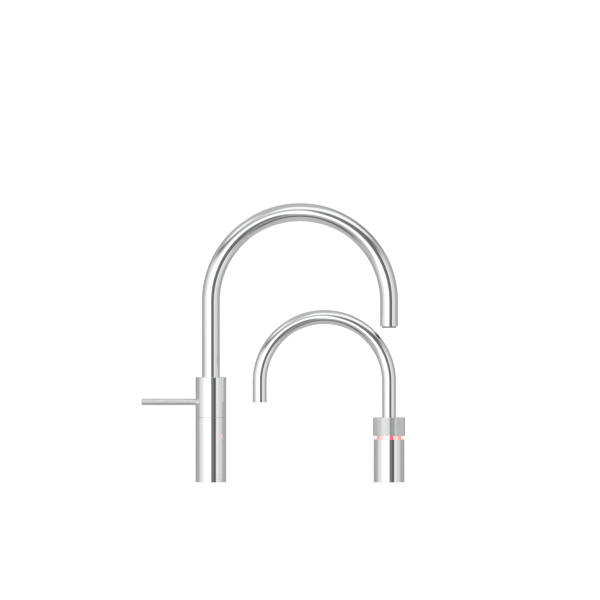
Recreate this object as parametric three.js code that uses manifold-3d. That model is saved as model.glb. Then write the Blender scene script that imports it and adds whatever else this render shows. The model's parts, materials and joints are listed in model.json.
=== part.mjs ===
// Twin boiling water tap set: a swan-neck boiling water tap with a knurled push-and-turn knob and a
// light ring, and its matching swan-neck single-lever mixer tap. Both stand on one worktop.
// Millimetres, +Z up. The worktop's upper face is z = 0. The boiling tap's axis is x = y = 0.
import * as THREE from "three";
import { mergeVertices } from "three/addons/utils/BufferGeometryUtils.js";
import Module from "manifold-3d";

const wasm = await Module();
wasm.setup();

// ---------------------------------------------------------------- driving dimensions
const SPACING = 228.6; // between the two tap axes
const BASE_R = 20.0; // outer radius of both tap bodies
const SHELL_IN_R = 17.6; // their inner radius
const WORKTOP = 30.0; // worktop thickness held between base and rubber washer
const SHANK_R = 15.0; // threaded shank, for a 35 mm hole
const SHANK_BORE_R = 12.0;
const SHANK_END = -58.0;

// boiling tap
const B_BASE_TOP = 55.08;
const B_KNOB_R = 20.85;
const B_KNOB_LOW = 59.34;
const B_KNOB_TOP = 83.15;
const B_TUBE_R = 9.05;
const B_TUBE_IN_R = 7.85;
const B_BEND_Z = 129.0; // centre height of the half circle
const B_BEND_R = 83.0; // centreline radius of the half circle
const B_SEAM_Z = 123.5; // joint between tube and outlet sleeve
const B_OUTLET_Z = 102.5;
const B_RING_R = 16.2; // light ring
const B_PUSH = 3.2; // knob travel

// mixer tap
const M_SEAM_Z = 83.1; // joint between base shell and turning shell
const M_TOP_Z = 134.78;
const M_TUBE_R = 11.6;
const M_TUBE_IN_R = 10.4;
const M_BEND_Z = 232.2;
const M_BEND_R = 114.3;
const M_TUBE_END_Z = 200.0;
const M_OUTLET_Z = 197.9; // underside of the aerator's rim
const LEVER_Z = 103.0;
const LEVER_R = 4.3;
const LEVER_TIP = 89.0; // from the tap axis to the lever's tip
const PIVOT_Z = 93.0; // lever pivot pin inside the cartridge
const SLOT_LOW = 98.3;
const SLOT_TOP = 117.0;
const SLOT_W = 9.4;

const RING = 20; // sides of most turned pieces
const FINE = 32; // sides of the outer shells

// ---------------------------------------------------------------- finishes
const mat = (color, roughness, metalness) => new THREE.MeshStandardMaterial({ color, roughness, metalness });
const CHROME = mat(0xdfe2e3, 0.06, 1);
const KNURL = mat(0xc9cccc, 0.28, 1);
const BRASS = mat(0xb8955a, 0.35, 1);
const STEEL = mat(0xb4b6b8, 0.3, 1);
const RUBBER = mat(0x1b1b1c, 0.85, 0);
const POM = mat(0xe9e6de, 0.5, 0);
const DARK_POM = mat(0x3a3c3e, 0.55, 0);
const GREY_POM = mat(0x9d9d9d, 0.45, 0);
const PTFE = mat(0xf4f2ec, 0.4, 0);
const CERAMIC = mat(0xefeae0, 0.25, 0);
const FERRITE = mat(0x2c2b2b, 0.6, 0);
const LIGHT = mat(0xff6a66, 0.15, 0);
const BOARD = mat(0x1f5a38, 0.5, 0);

// ---------------------------------------------------------------- solids
// A geometry's faces as a closed solid, turned outwards.
function solid(geometry) {
  const g = geometry.index ? geometry.toNonIndexed() : geometry.clone();
  g.deleteAttribute("normal");
  g.deleteAttribute("uv");
  const m = mergeVertices(g, 1e-4);
  const triVerts = new Uint32Array(m.index.array);
  const made = (t) =>
    new wasm.Manifold(new wasm.Mesh({ numProp: 3, vertProperties: m.attributes.position.array, triVerts: t }));
  // faces with two equal corners come from profile points on the axis
  const kept = [];
  for (let i = 0; i < triVerts.length; i += 3) {
    const [a, b, c] = triVerts.subarray(i, i + 3);
    if (a !== b && b !== c && a !== c) kept.push(a, b, c);
  }
  let s = made(new Uint32Array(kept));
  if (s.volume() < 0) {
    for (let i = 0; i < kept.length; i += 3) [kept[i + 1], kept[i + 2]] = [kept[i + 2], kept[i + 1]];
    s = made(new Uint32Array(kept));
  }
  return s;
}

function geometryOf(s) {
  const m = s.getMesh();
  const v = new Float32Array(m.numVert * 3);
  for (let i = 0; i < m.numVert; i++) for (let k = 0; k < 3; k++) v[3 * i + k] = m.vertProperties[i * m.numProp + k];
  const g = new THREE.BufferGeometry();
  g.setAttribute("position", new THREE.BufferAttribute(v, 3));
  g.setIndex(new THREE.BufferAttribute(new Uint32Array(m.triVerts), 1));
  g.computeVertexNormals();
  return g;
}

// A turned piece about Z. The profile is [radius, height] pairs; a ring's profile closes on itself.
function turned(profile, sides = RING) {
  const p = profile.map(([r, z]) => new THREE.Vector2(r, z));
  const onAxis = profile[0][0] === 0 && profile[profile.length - 1][0] === 0;
  if (!onAxis) p.push(p[0].clone());
  const g = new THREE.LatheGeometry(p, sides);
  g.rotateX(Math.PI / 2);
  return solid(g);
}
const ring = (r0, r1, z0, z1, sides = RING) =>
  turned([[r0, z0], [r1, z0], [r1, z1], [r0, z1]], sides);
const disc = (r, z0, z1, sides = RING) => turned([[0, z0], [r, z0], [r, z1], [0, z1]], sides);
// An O-ring of section s, centred at height z on radius r.
const oring = (r, s, z, sides = 16) =>
  turned([0, 1, 2, 3, 4, 5].map((i) => [r + (s / 2) * Math.cos((i * Math.PI) / 3), z + (s / 2) * Math.sin((i * Math.PI) / 3)]), sides);
const box = (x0, x1, y0, y1, z0, z1) => {
  const g = new THREE.BoxGeometry(x1 - x0, y1 - y0, z1 - z0);
  g.translate((x0 + x1) / 2, (y0 + y1) / 2, (z0 + z1) / 2);
  return solid(g);
};
// A round bar of radius r from a to b.
function bar(a, b, r, sides = 16) {
  const A = new THREE.Vector3(...a);
  const d = new THREE.Vector3(...b).sub(A);
  const g = new THREE.CylinderGeometry(r, r, d.length(), sides);
  g.translate(0, d.length() / 2, 0);
  g.applyQuaternion(new THREE.Quaternion().setFromUnitVectors(new THREE.Vector3(0, 1, 0), d.clone().normalize()));
  g.translate(A.x, A.y, A.z);
  return solid(g);
}
// A wedge of a full turn about Z, from angle a0 to a1 in degrees, out to radius r.
function wedge(a0, a1, r, z0, z1) {
  const s = new THREE.Shape();
  s.moveTo(0, 0);
  const n = Math.max(2, Math.ceil((a1 - a0) / 12));
  for (let i = 0; i <= n; i++) {
    const a = ((a0 + ((a1 - a0) * i) / n) * Math.PI) / 180;
    s.lineTo(r * Math.cos(a), r * Math.sin(a));
  }
  s.closePath();
  const g = new THREE.ExtrudeGeometry(s, { depth: z1 - z0, bevelEnabled: false });
  g.translate(0, 0, z0);
  return solid(g);
}

// The centreline of a swan neck: straight up, half a circle towards +X or -X, straight down.
// Each straight is one step and the half circle is all the others.
class SwanNeck extends THREE.Curve {
  constructor(z0, bendZ, bendR, z1, side, steps) {
    super();
    Object.assign(this, { z0, bendZ, bendR, z1, side, steps });
  }
  getPoint(t) {
    const k = t * this.steps, n = this.steps - 2;
    if (k <= 1) return new THREE.Vector3(0, 0, this.z0 + (this.bendZ - this.z0) * k);
    if (k >= n + 1) return new THREE.Vector3(2 * this.bendR * this.side, 0, this.bendZ + (this.z1 - this.bendZ) * (k - n - 1));
    const a = ((k - 1) / n) * Math.PI;
    return new THREE.Vector3(this.side * this.bendR * (1 - Math.cos(a)), 0, this.bendZ + this.bendR * Math.sin(a));
  }
  getTangent(t) {
    const k = t * this.steps, n = this.steps - 2;
    const a = (Math.min(Math.max(k - 1, 0), n) / n) * Math.PI;
    return new THREE.Vector3(this.side * Math.sin(a), 0, Math.cos(a)).normalize();
  }
  getPointAt(u) { return this.getPoint(u); }
  getTangentAt(u) { return this.getTangent(u); }
}
// A round bar bent along a curve; a bore in it is cut as a second bar, run past both ends.
function bent(path, r, sides) {
  const s = new THREE.Shape();
  for (let i = 0; i <= sides; i++) {
    const a = ((i + 0.5) / sides) * 2 * Math.PI;
    i ? s.lineTo(r * Math.cos(a), r * Math.sin(a)) : s.moveTo(r * Math.cos(a), r * Math.sin(a));
  }
  return solid(new THREE.ExtrudeGeometry(s, { steps: path.steps, extrudePath: path, bevelEnabled: false }));
}
function bentTube(z0, bendZ, bendR, z1, side, r, rIn, sides, steps) {
  const outer = bent(new SwanNeck(z0, bendZ, bendR, z1, side, steps), r, sides);
  const inner = bent(new SwanNeck(z0 - 3, bendZ, bendR, z1 - 3, side, steps), rIn, sides);
  return outer.subtract(inner);
}

// A coil spring with its ends wound flat, from z0 to z1.
class Coil extends THREE.Curve {
  constructor(r, z0, z1, turns) { super(); Object.assign(this, { r, z0, z1, turns }); }
  getPoint(t) {
    const a = 2 * Math.PI * this.turns * t;
    const lead = Math.min(1, Math.max(0, (t * this.turns - 0.75) / (this.turns - 1.5)));
    return new THREE.Vector3(this.r * Math.cos(a), this.r * Math.sin(a), this.z0 + (this.z1 - this.z0) * lead + 0.1 * (t * this.turns));
  }
}

// ---------------------------------------------------------------- the two taps
const set = new THREE.Group();
const boiling = new THREE.Group();
const mixer = new THREE.Group();
mixer.position.set(-SPACING, 0, 0);
set.add(boiling, mixer);

const part = (group, name, s, material, z = 0) => {
  const mesh = new THREE.Mesh(geometryOf(s), material);
  mesh.name = name;
  mesh.position.z = z;
  group.add(mesh);
  return mesh;
};

// ---- fixings below the worktop, the same on both taps. Heights are from the worktop's upper face.
function fixings(group, who) {
  // the shank's flange pulls the base shell down, and its tube goes through the worktop
  part(group, who + "_shank", turned([
    [SHANK_BORE_R, SHANK_END], [SHANK_R - 0.8, SHANK_END], [SHANK_R, SHANK_END + 0.8], [SHANK_R, 3.3],
    [17.2, 3.3], [17.2, 6.0], [SHANK_BORE_R, 6.0],
  ]), BRASS);
  part(group, who + "_base_gasket", ring(16.2, 18.4, 0, 1.5), RUBBER);
  part(group, who + "_rubber_washer", ring(15.5, 25, 0, 3), RUBBER, -WORKTOP - 3);
  part(group, who + "_steel_washer", ring(15.4, 25, 0, 2), STEEL, -WORKTOP - 5.3);
  // back nut: six-sided, with a round flange against the washer
  const hex = new THREE.Shape();
  for (let i = 0; i < 6; i++) {
    const a = (i * Math.PI) / 3 + Math.PI / 6;
    const p = [21.4 * Math.cos(a), 21.4 * Math.sin(a)];
    i ? hex.lineTo(...p) : hex.moveTo(...p);
  }
  hex.closePath();
  const nut = solid(new THREE.ExtrudeGeometry(hex, { depth: 9, bevelEnabled: false }))
    .intersect(turned([[0, 0], [19.8, 0], [21.6, 1.8], [21.6, 9], [0, 9]], 24))
    .add(disc(23, 9, 11, RING))
    .subtract(disc(15.35, -1, 12));
  part(group, who + "_backnut", nut, BRASS, -WORKTOP - 16.6);
}

// The lower end of both base shells: the seat ring, and inside it the gasket's recess.
const SEAT = [[15.4, 1.9], [18.6, 1.9], [18.6, 0], [BASE_R - 0.35, 0], [BASE_R, 0.35]];

// ================================================================ boiling tap
fixings(boiling, "boiling");
// base shell: a can with a lip at the top that holds the light ring down by its flange
part(boiling, "boiling_base_shell", turned([
  ...SEAT, [BASE_R, B_BASE_TOP - 0.35], [BASE_R - 0.35, B_BASE_TOP], [B_RING_R + 0.3, B_BASE_TOP], [B_RING_R + 0.3, B_BASE_TOP - 2.5],
  [SHELL_IN_R, B_BASE_TOP - 2.5], [SHELL_IN_R, 3.0], [15.4, 3.0],
], FINE), CHROME);

// guide column: carries the spout inside and the knob outside; two keys stop the carrier turning
const keys = box(-13.0, 13.0, -1.2, 1.2, 57.0, 75.3).subtract(disc(12.0, 56, 76));
const column = turned([
  [6.0, 6.3], [17.2, 6.3], [17.2, 9.5], [13.2, 9.5], [13.2, 53.4], [12.6, 53.4], [12.6, 75.5], [9.5, 75.5], [9.5, 19.7], [6.0, 19.7],
]).add(keys.intersect(disc(13.0, 56, 76))).subtract(bar([0, 8, 32], [0, 15, 32], 2.2));
part(boiling, "boiling_guide_column", column, BRASS);
part(boiling, "boiling_inlet_pipe", ring(3.0, 4.0, -62, 27.4, 16), STEEL);
part(boiling, "boiling_pipe_bush", ring(4.2, 5.8, 7.0, 18.5, 16), DARK_POM);
part(boiling, "boiling_spring_seat", ring(12.85, 14.6, 53.6, 55.0), STEEL);

// control board: a ring with six lights and a position sensor on it
let board = ring(13.6, 17.2, 0, 1.6);
for (let i = 0; i < 6; i++) {
  const a = (i * Math.PI) / 3;
  const led = box(-0.8, 0.8, -0.8, 0.8, 1.5, 2.3).rotate([0, 0, i * 60]).translate([15.4 * Math.cos(a), 15.4 * Math.sin(a), 0]);
  board = board.add(led);
}
board = board.add(box(-2, 2, 14.2, 16.6, -1.2, 0.1));
part(boiling, "boiling_led_board", board, BOARD, 48.4);
// light ring: the visible ring, and the light guide that reaches down to the board
part(boiling, "boiling_light_ring", turned([
  [15.0, 51.2], [17.2, 51.2], [17.2, B_BASE_TOP - 2.8], [B_RING_R, B_BASE_TOP - 2.8], [B_RING_R, 60.6], [15.0, 60.6],
], FINE), LIGHT);

// knob, on its carrier
part(boiling, "boiling_push_carrier", ring(12.9, 17.25, 66.0, 76.0)
  .subtract(box(-13.4, 13.4, -1.5, 1.5, 65, 77)), DARK_POM);
part(boiling, "boiling_knob_shell", turned([
  [17.6, B_KNOB_LOW], [B_KNOB_R - 0.5, B_KNOB_LOW], [B_KNOB_R, B_KNOB_LOW + 0.5], [B_KNOB_R, B_KNOB_TOP - 0.6],
  [B_KNOB_R - 0.6, B_KNOB_TOP], [9.6, B_KNOB_TOP], [9.6, 79.4], [17.6, 79.4], [17.6, 65.75], [18.4, 65.75], [18.4, 64.1], [17.6, 64.1],
], FINE), KNURL);
part(boiling, "boiling_knob_magnet_ring", ring(13.35, 17.25, 76.3, 79.1), FERRITE);
const clip = ring(16.1, 18.15, 64.45, 65.45).subtract(wedge(70, 110, 30, 60, 70));
part(boiling, "boiling_knob_clip", clip, STEEL);
const coil = new Coil(13.85, 55.75, 64.8, 5);
const wire = new THREE.Shape();
for (let i = 0; i <= 6; i++) {
  const a = (i * Math.PI) / 3;
  i ? wire.lineTo(0.42 * Math.cos(a), 0.42 * Math.sin(a)) : wire.moveTo(0.42, 0);
}
part(boiling, "boiling_return_spring", solid(new THREE.ExtrudeGeometry(wire, { steps: 50, extrudePath: coil, bevelEnabled: false })), STEEL);

// spout, with its turned stub in the column
part(boiling, "boiling_spout_stub", turned([
  [4.3, 20.2], [B_TUBE_R, 20.2], [B_TUBE_R, 23.6], [7.4, 23.6], [7.4, 26.2], [B_TUBE_R, 26.2], [B_TUBE_R, 29.7], [7.3, 29.7], [7.3, 34.3],
  [B_TUBE_R, 34.3], [B_TUBE_R, 38.0], [7.4, 38.0], [7.4, 40.6], [B_TUBE_R, 40.6], [B_TUBE_R, 44.0], [7.5, 44.0], [7.5, 52.0], [4.3, 52.0],
  [4.3, 45.5], [3.1, 45.5], [3.1, 28.5], [4.3, 28.5], [4.3, 25.0], [5.7, 25.0], [5.7, 22.4], [4.3, 22.4],
], 16), BRASS);
part(boiling, "boiling_spout_seal_lower", oring(8.38, 1.75, 24.9), RUBBER);
part(boiling, "boiling_spout_seal_upper", oring(8.38, 1.75, 39.3), RUBBER);
part(boiling, "boiling_pipe_seal", oring(4.85, 1.3, 23.7, 16), RUBBER);
part(boiling, "boiling_spout_screw", bar([0, 7.8, 32], [0, 12.4, 32], 1.85, 12)
  .subtract(bar([0, 10.6, 32], [0, 13, 32], 0.9, 6)), STEEL);
part(boiling, "boiling_spout_tube", bentTube(44.3, B_BEND_Z, B_BEND_R, B_SEAM_Z + 0.15, -1, B_TUBE_R, B_TUBE_IN_R, 16, 24), CHROME);
part(boiling, "boiling_water_tube", bentTube(46.0, B_BEND_Z, B_BEND_R, 113.2, -1, 4.0, 3.0, 6, 14), PTFE);

// outlet: sleeve, core that holds the water tube, and perforated spray plate
const outlet = new THREE.Group();
outlet.position.set(-2 * B_BEND_R, 0, B_OUTLET_Z);
boiling.add(outlet);
part(outlet, "boiling_outlet_sleeve", turned([
  [7.3, 0], [B_TUBE_R - 0.3, 0], [B_TUBE_R, 0.3], [B_TUBE_R, B_SEAM_Z - B_OUTLET_Z - 0.15], [7.55, B_SEAM_Z - B_OUTLET_Z - 0.15], [7.55, 26.4], [6.4, 26.4], [6.4, 20.6], [7.3, 20.6],
], 24), CHROME);
part(outlet, "boiling_outlet_core", turned([
  [3.4, 6.0], [7.0, 6.0], [7.0, 19.5], [4.3, 19.5], [4.3, 10.2], [3.4, 10.2],
]), PTFE);
let spray = disc(7.0, 1.6, 5.7);
for (let i = 0; i < 7; i++) {
  const a = (i * Math.PI) / 3, r = i < 6 ? 4.2 : 0;
  spray = spray.subtract(bar([r * Math.cos(a), r * Math.sin(a), 0], [r * Math.cos(a), r * Math.sin(a), 7], 1.0, 8));
}
part(outlet, "boiling_spray_plate", spray, STEEL);

// ================================================================ mixer tap
fixings(mixer, "mixer");
part(mixer, "mixer_base_shell", turned([
  ...SEAT, [BASE_R, M_SEAM_Z - 0.3], [BASE_R - 0.15, M_SEAM_Z - 0.15], [18.9, M_SEAM_Z - 0.15], [18.9, M_SEAM_Z - 1.1], [SHELL_IN_R, M_SEAM_Z - 1.1], [SHELL_IN_R, 3.0], [15.4, 3.0],
], FINE), CHROME);
part(mixer, "mixer_slip_ring", ring(17.5, 18.7, M_SEAM_Z - 0.85, M_SEAM_Z - 0.05), DARK_POM);

// valve body: two inlets below, the cartridge's pocket, a spine with the risers, and the spout's socket
const POCKET = 72.0;
let body = turned([
  [0, 6.3], [17.2, 6.3], [17.2, 82.4], [16.4, 82.4], [16.4, 94.3], [13.7, 94.3], [13.7, POCKET], [0, POCKET],
]);
const spine = turned([[12.2, 94.05], [16.4, 94.05], [16.4, 119.5], [12.2, 119.5]]).intersect(wedge(-62, 62, 30, 90, 122));
const socket = turned([
  [0, 118.0], [16.4, 118.0], [16.4, 132.7], [11.9, 132.7], [11.9, 131.4], [12.8, 131.4], [12.8, 129.4], [11.9, 129.4], [11.9, 121.0], [0, 121.0],
]);
const risers = [-34, 0, 34].map((d) => {
  const a = (d * Math.PI) / 180;
  return bar([14.0 * Math.cos(a), 14.0 * Math.sin(a), 84], [14.0 * Math.cos(a), 14.0 * Math.sin(a), 119.6], 1.4, 8);
});
// each riser opens into the socket through a short slanted drilling, and into the pocket at its foot
const drillings = [-34, 0, 34].map((d) => {
  const a = (d * Math.PI) / 180;
  return bar([14.0 * Math.cos(a), 14.0 * Math.sin(a), 119.4], [9.2 * Math.cos(a), 9.2 * Math.sin(a), 121.8], 1.2, 6);
});
const feet = [-34, 0, 34].map((d) => {
  const a = (d * Math.PI) / 180;
  return bar([12.6 * Math.cos(a), 12.6 * Math.sin(a), 85], [14.4 * Math.cos(a), 14.4 * Math.sin(a), 85], 1.2, 6);
});
body = body.add(spine).add(socket);
for (const c of [...risers, ...drillings, ...feet]) body = body.subtract(c);
for (const y of [-6, 6]) {
  body = body.subtract(bar([0, y, 5], [0, y, 24], 4.9, 16)).subtract(bar([0, y, 23], [0, y, POCKET + 1], 3.0, 12));
}
part(mixer, "mixer_valve_body", body, BRASS);
for (const [name, y] of [["mixer_hot_inlet_tail", 6], ["mixer_cold_inlet_tail", -6]]) {
  part(mixer, name, bar([0, y, -70], [0, y, 22.5], 4.5, 14).subtract(bar([0, y, -71], [0, y, 24], 3.1, 10)), STEEL);
}

// cartridge
let seal = disc(13.2, 72.3, 75.2);
for (const y of [-6, 6]) seal = seal.subtract(bar([0, y, 71], [0, y, 76], 3.0, 12));
part(mixer, "mixer_cartridge_base", seal, DARK_POM);
let fixed = disc(11.0, 75.6, 78.9);
for (const y of [-6, 6]) fixed = fixed.subtract(bar([0, y, 75], [0, y, 80], 2.2, 12));
fixed = fixed.subtract(bar([6.4, 0, 75], [6.4, 0, 80], 2.2, 12));
part(mixer, "mixer_fixed_disc", fixed, CERAMIC);
part(mixer, "mixer_cartridge_housing", turned([
  [11.8, 75.5], [13.3, 75.5], [13.3, 90.0], [10.2, 90.0], [10.2, 95.2], [7.9, 95.2], [7.9, 86.6], [11.8, 86.6],
]).subtract(bar([10, 0, 84.2], [15, 0, 84.2], 1.6, 10)), POM);
part(mixer, "mixer_cartridge_nut", ring(10.5, 13.35, 90.3, 93.7)
  .subtract(box(-1.2, 1.2, -14, 14, 92.4, 95)), BRASS);
part(mixer, "mixer_moving_disc", disc(8.2, 79.2, 82.6)
  .subtract(box(-3.4, 3.4, -5.2, 5.2, 79.0, 80.6)), CERAMIC);
part(mixer, "mixer_disc_driver", disc(8.2, 82.9, 86.2)
  .subtract(box(-2.5, 2.5, -2.9, 2.9, 83.9, 87)), DARK_POM);
// turret: turns in the cartridge's neck and holds the pivot pin
part(mixer, "mixer_cartridge_turret", disc(7.6, 86.9, 95.2)
  .subtract(box(-8.5, 8.5, -2.75, 2.75, 86, 96))
  .add(ring(6.2, 7.6, 86.9, 88.2))
  .subtract(bar([0, -9, PIVOT_Z], [0, 9, PIVOT_Z], 1.45, 12)), DARK_POM);

// lever and what tilts with it
part(mixer, "mixer_pivot_pin", bar([0, -7.0, PIVOT_Z], [0, 7.0, PIVOT_Z], 1.2, 12), STEEL);
part(mixer, "mixer_spindle", box(-2.4, 2.4, -2.4, 2.4, 87.5, 104.4)
  .add(bar([0, 0, 84.8], [0, 0, 88], 1.9, 12))
  .subtract(bar([0, -9, PIVOT_Z], [0, 9, PIVOT_Z], 1.4, 12)), STEEL);
part(mixer, "mixer_lever_hub", disc(5.2, 98.2, 107.8, 24)
  .subtract(box(-2.6, 2.6, -2.6, 2.6, 97, 104.7))
  .subtract(box(-7, -4.7, -7, 7, 97, 109))
  .subtract(bar([-6, 0, LEVER_Z + 2.4], [-0, 0, LEVER_Z + 2.4], 1.6, 12).intersect(box(-7, -2.9, -3, 3, 100, 110)))
  .subtract(bar([0, 0, 104], [0, 0, 109], 1.9, 12)), BRASS);
part(mixer, "mixer_lever_screw", bar([0, 0, 104.8], [0, 0, 107.6], 1.7, 12).subtract(bar([0, 0, 106.2], [0, 0, 109], 0.8, 6)), STEEL);
const lever = new THREE.CylinderGeometry(LEVER_R, LEVER_R, LEVER_TIP - 5.0 - 0.35, 24);
lever.translate(0, (LEVER_TIP - 5.0 - 0.35) / 2 + 5.0, 0);
const tip = new THREE.CylinderGeometry(LEVER_R - 0.35, LEVER_R, 0.35, 24);
tip.translate(0, LEVER_TIP - 0.175, 0);
const leverRod = solid(lever).add(solid(tip)).rotate([0, 0, 90]).translate([0, 0, LEVER_Z])
  .add(bar([-5.5, 0, LEVER_Z + 2.4], [-3.2, 0, LEVER_Z + 2.4], 1.35, 12));
part(mixer, "mixer_lever_rod", leverRod, CHROME);

// turning shell with the lever's slot, the shutter behind the slot, and the bearing
const slot = box(-25, -10, -SLOT_W / 2, SLOT_W / 2, SLOT_LOW + SLOT_W / 2, SLOT_TOP - SLOT_W / 2)
  .add(bar([-25, 0, SLOT_LOW + SLOT_W / 2], [-10, 0, SLOT_LOW + SLOT_W / 2], SLOT_W / 2, 16))
  .add(bar([-25, 0, SLOT_TOP - SLOT_W / 2], [-10, 0, SLOT_TOP - SLOT_W / 2], SLOT_W / 2, 16));
part(mixer, "mixer_handle_shell", turned([
  [SHELL_IN_R, M_SEAM_Z + 0.15], [BASE_R - 0.15, M_SEAM_Z + 0.15], [BASE_R, M_SEAM_Z + 0.3], [BASE_R, M_TOP_Z - 0.5], [BASE_R - 0.5, M_TOP_Z],
  [11.95, M_TOP_Z], [11.95, 133.0], [SHELL_IN_R, 133.0],
], FINE).subtract(slot), CHROME);
const hole = box(-20, -15, -4.7, 4.7, LEVER_Z - 1.0, LEVER_Z + 1.0)
  .add(bar([-20, 0, LEVER_Z + 1.0], [-15, 0, LEVER_Z + 1.0], 4.7, 16))
  .add(bar([-20, 0, LEVER_Z - 1.0], [-15, 0, LEVER_Z - 1.0], 4.7, 16));
part(mixer, "mixer_slot_shutter", ring(16.75, 17.3, 89.8, 118.0).intersect(wedge(154, 206, 30, 80, 130)).subtract(hole), DARK_POM);
part(mixer, "mixer_handle_bearing", ring(16.8, 17.4, 126.4, 132.6), POM);

// spout
part(mixer, "mixer_spout_stub", turned([
  [8.6, 121.3], [M_TUBE_R, 121.3], [M_TUBE_R, 122.4], [9.9, 122.4], [9.9, 124.6], [M_TUBE_R, 124.6], [M_TUBE_R, 125.5], [9.9, 125.5], [9.9, 127.7],
  [M_TUBE_R, 127.7], [M_TUBE_R, 129.4], [10.7, 129.4], [10.7, 131.4], [M_TUBE_R, 131.4], [M_TUBE_R, 131.7], [9.9, 131.7], [9.9, 142.0], [8.6, 142.0],
], 16), BRASS);
part(mixer, "mixer_spout_seal_lower", oring(10.9, 1.7, 123.5), RUBBER);
part(mixer, "mixer_spout_seal_upper", oring(10.9, 1.7, 126.6), RUBBER);
part(mixer, "mixer_spout_snap_ring", ring(10.95, 12.55, 129.8, 131.0).subtract(wedge(-12, 12, 30, 125, 135)), STEEL);
part(mixer, "mixer_spout_tube", bentTube(132.0, M_BEND_Z, M_BEND_R, M_TUBE_END_Z, 1, M_TUBE_R, M_TUBE_IN_R, 16, 24), CHROME);

// outlet: the aerator's housing sits inside the tube's square end, and its grey rim stands out below it;
// the insert is inside the housing, on the rim's lip, and the seal on top of it
const aerator = new THREE.Group();
aerator.position.set(2 * M_BEND_R, 0, M_OUTLET_Z);
mixer.add(aerator);
const RIM = M_TUBE_END_Z - M_OUTLET_Z; // the rim's height below the tube's end
part(aerator, "mixer_aerator_housing", turned([
  [8.2, 0], [9.2, 0], [9.2, RIM + 0.3], [9.9, RIM + 0.3], [9.9, 13.6], [8.9, 13.6], [8.9, 1.0], [8.2, 1.0],
], 24), GREY_POM);
let screen = disc(8.6, 1.3, 11.8, 24);
for (let i = 0; i < 7; i++) {
  const a = (i * Math.PI) / 3, r = i < 6 ? 5.0 : 0;
  screen = screen.subtract(bar([r * Math.cos(a), r * Math.sin(a), -1], [r * Math.cos(a), r * Math.sin(a), 13], 1.5, 8));
}
part(aerator, "mixer_aerator_insert", screen, DARK_POM);
part(aerator, "mixer_aerator_seal", ring(7.2, 8.7, 12.1, 13.4), RUBBER);

export default set;
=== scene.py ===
# Looks of the twin boiling water tap set: polished chrome swan necks, a knurled knob and a light ring.
# Metres, +Z up, worktop at z = 0, the boiling tap's axis is x = y = 0.
import json
import math

import bmesh
import bpy
from mathutils import Matrix, Vector

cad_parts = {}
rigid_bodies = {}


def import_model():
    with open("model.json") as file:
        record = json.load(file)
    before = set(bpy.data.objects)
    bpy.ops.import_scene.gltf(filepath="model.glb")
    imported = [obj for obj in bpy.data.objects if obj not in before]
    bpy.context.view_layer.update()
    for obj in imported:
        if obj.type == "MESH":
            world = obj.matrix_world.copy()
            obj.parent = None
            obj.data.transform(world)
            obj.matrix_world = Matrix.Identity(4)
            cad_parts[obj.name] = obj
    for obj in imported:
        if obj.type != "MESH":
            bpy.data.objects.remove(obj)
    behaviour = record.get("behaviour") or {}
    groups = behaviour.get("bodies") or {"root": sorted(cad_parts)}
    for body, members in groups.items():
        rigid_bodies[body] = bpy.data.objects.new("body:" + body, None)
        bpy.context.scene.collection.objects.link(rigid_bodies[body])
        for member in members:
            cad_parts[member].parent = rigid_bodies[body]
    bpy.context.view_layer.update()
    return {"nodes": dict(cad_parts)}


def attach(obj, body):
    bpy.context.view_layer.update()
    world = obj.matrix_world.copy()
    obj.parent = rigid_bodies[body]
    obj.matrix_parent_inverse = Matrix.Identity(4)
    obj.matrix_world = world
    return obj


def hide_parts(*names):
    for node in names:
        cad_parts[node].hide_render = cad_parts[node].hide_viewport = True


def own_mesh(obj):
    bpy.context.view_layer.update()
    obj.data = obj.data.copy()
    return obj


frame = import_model()

MM = 0.001
MIX_X = -228.6  # the mixer tap's axis, mm
BASE_R = 20.0
B_BEND = (9.05, 7.85, 129.0, 83.0)  # tube radius, bore radius, bend centre height, bend radius
M_BEND = (11.6, 10.4, 232.2, 114.3)


# ------------------------------------------------------------------ node materials
def new_material(name):
    m = bpy.data.materials.new(name)
    m.use_nodes = True
    nt = m.node_tree
    nt.nodes.clear()
    out = nt.nodes.new("ShaderNodeOutputMaterial")
    bsdf = nt.nodes.new("ShaderNodeBsdfPrincipled")
    nt.links.new(bsdf.outputs[0], out.inputs[0])
    return m, nt, bsdf


def coords(nt, scale=(1, 1, 1)):
    tc = nt.nodes.new("ShaderNodeTexCoord")
    mp = nt.nodes.new("ShaderNodeMapping")
    mp.inputs["Scale"].default_value = scale
    nt.links.new(tc.outputs["Object"], mp.inputs["Vector"])
    return mp.outputs[0]


def noise(nt, vec, scale, detail=3, rough=0.5):
    n = nt.nodes.new("ShaderNodeTexNoise")
    n.inputs["Scale"].default_value = scale
    n.inputs["Detail"].default_value = detail
    n.inputs["Roughness"].default_value = rough
    nt.links.new(vec, n.inputs["Vector"])
    return n.outputs["Fac"]


def remap(nt, value, a, b, lo, hi):
    r = nt.nodes.new("ShaderNodeMapRange")
    r.inputs["From Min"].default_value = a
    r.inputs["From Max"].default_value = b
    r.inputs["To Min"].default_value = lo
    r.inputs["To Max"].default_value = hi
    nt.links.new(value, r.inputs["Value"])
    return r.outputs[0]


def ramp(nt, value, stops):
    r = nt.nodes.new("ShaderNodeValToRGB")
    els = r.color_ramp.elements
    while len(els) > len(stops):
        els.remove(els[-1])
    while len(els) < len(stops):
        els.new(0.5)
    for e, (p, c) in zip(els, stops):
        e.position = p
        e.color = (*c, 1)
    nt.links.new(value, r.inputs["Fac"])
    return r.outputs["Color"]


def bump(nt, bsdf, height, strength, distance):
    b = nt.nodes.new("ShaderNodeBump")
    b.inputs["Strength"].default_value = strength
    b.inputs["Distance"].default_value = distance
    nt.links.new(height, b.inputs["Height"])
    nt.links.new(b.outputs[0], bsdf.inputs["Normal"])


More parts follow.
